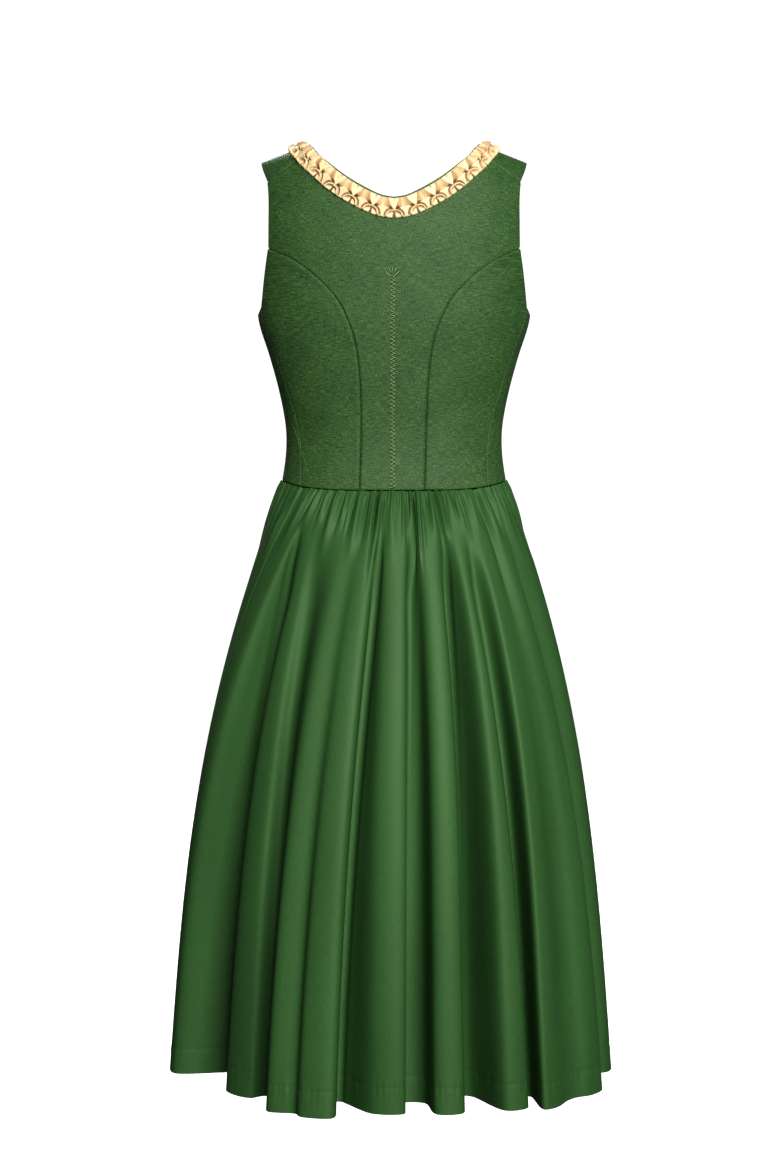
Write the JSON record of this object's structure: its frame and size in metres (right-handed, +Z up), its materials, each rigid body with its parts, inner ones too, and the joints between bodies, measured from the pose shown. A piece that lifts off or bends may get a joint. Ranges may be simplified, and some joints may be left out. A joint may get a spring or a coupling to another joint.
{
  "type": "sleeveless midi dirndl dress",
  "caption": "Sleeveless worn-form dress: fitted bodice with curved back seams and V neck, gold pleated ribbon round the neck, gathered skirt falling in deep folds.",
  "frame": {"origin": "midway between the tops of the two shoulders, on the line where the front and the back meet over them", "axes": "+Z up, +Y the way the wearer faces, +X the wearer's right side"},
  "size_m": [0.5346, 0.4795, 1.1197],
  "materials": {
    "bodice_cloth": "matt heathered green plain weave",
    "skirt_cloth": "smooth green cloth with a slight satin sheen",
    "ribbon": "gold satin ribbon",
    "stitching": "pale green thread"
  },
  "bodies": {
    "root": {"bodice_back_centre": "bodice_cloth", "bodice_back_side_left": "bodice_cloth", "bodice_back_side_right": "bodice_cloth", "bodice_front_side_left": "bodice_cloth", "bodice_front_side_right": "bodice_cloth", "bodice_front_centre": "bodice_cloth", "skirt_back": "skirt_cloth", "skirt_front": "skirt_cloth", "neck_trim": "ribbon"}
  },
  "joints": []
}
